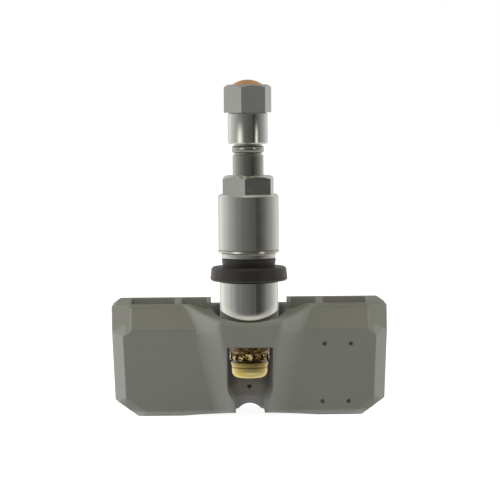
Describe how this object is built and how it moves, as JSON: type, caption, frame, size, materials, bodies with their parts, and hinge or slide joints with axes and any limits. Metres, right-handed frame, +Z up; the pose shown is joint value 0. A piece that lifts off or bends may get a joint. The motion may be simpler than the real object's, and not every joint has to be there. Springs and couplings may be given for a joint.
{
  "type": "tyre pressure sensor",
  "caption": "Clamp-in tyre pressure sensor: winged grey housing under a metal valve stem with ball foot, rubber grommet, collared hexagon nut and domed cap.",
  "frame": {"origin": "middle of the bounding box on the plane that the housing stands on, on the stem's axis", "axes": "+Z up along the stem towards the cap, +X along the housing to the viewer's right, -Y towards the side with the screw window"},
  "size_m": [0.069, 0.0204, 0.0833],
  "materials": {
    "grey_moulding": "finely textured mid grey moulding",
    "resin": "poured dark resin",
    "board": "green solder mask",
    "cell_steel": "bright plated steel",
    "strip_steel": "plated strip",
    "chip_black": "moulded black",
    "chip_tan": "fired ceramic",
    "can_steel": "plain can",
    "seal_rubber": "matt black",
    "stem_alloy": "bright turned",
    "grommet_rubber": "satin black",
    "ring_alloy": "bright",
    "nut_alloy": "bright turned",
    "cap_alloy": "bright",
    "copper_button": "copper coloured",
    "gold_screw": "yellow passivated",
    "gold_washer": "yellow passivated",
    "core_brass": "turned"
  },
  "bodies": {
    "housing": {"housing": "grey_moulding", "potting_fill": "resin", "circuit_board": "board", "battery_cell": "cell_steel", "battery_tab_front": "strip_steel", "battery_tab_back": "strip_steel", "pressure_sensor": "chip_black", "port_gasket": "seal_rubber", "transmitter_chip": "chip_black", "crystal_can": "can_steel", "motion_switch": "can_steel", "chip_capacitors": "chip_tan", "antenna_loop": "strip_steel"},
    "stem": {"valve_stem": "stem_alloy", "retaining_screw": "gold_screw", "serrated_washer": "gold_washer", "sealing_grommet": "grommet_rubber", "core_plug": "core_brass", "core_barrel": "core_brass", "core_gasket": "seal_rubber", "core_spring": "strip_steel"},
    "washer": {"thrust_washer": "ring_alloy"},
    "nut": {"rim_nut": "nut_alloy"},
    "cap_seal": {"cap_gasket": "seal_rubber"},
    "cap": {"valve_cap": "cap_alloy", "cap_dome": "copper_button"},
    "core": {"core_pin": "core_brass", "core_cup": "seal_rubber"}
  },
  "joints": [
    {"name": "stem_tilt", "type": "hinge", "parent": "housing", "child": "stem", "pos_m": [0, 0, 0.02485], "axis": [1, 0, 0], "range_deg": [-8, 2]},
    {"name": "nut_rise", "type": "slide", "parent": "stem", "child": "washer", "axis": [0, 0, 1], "range_m": [0, 0.00556]},
    {"name": "nut_turn", "type": "hinge", "parent": "washer", "child": "nut", "pos_m": [0, 0, 0.05055], "axis": [0, 0, 1], "range_deg": [0, 2520]},
    {"name": "cap_rise", "type": "slide", "parent": "stem", "child": "cap_seal", "axis": [0, 0, 1], "range_m": [0, 0.00635]},
    {"name": "cap_turn", "type": "hinge", "parent": "cap_seal", "child": "cap", "pos_m": [0, 0, 0.07455], "axis": [0, 0, 1], "range_deg": [0, 2880]},
    {"name": "core_press", "type": "slide", "parent": "stem", "child": "core", "axis": [0, 0, -1], "range_m": [0, 0.0012], "stiffness_N_per_m": 600, "springref_m": -0.002, "deforming": ["core_spring"]}
  ],
  "couplings": [
    {"joint": "nut_turn", "follows": "nut_rise", "rad_per_m": 7913.3},
    {"joint": "cap_turn", "follows": "cap_rise", "rad_per_m": 7913.3}
  ]
}
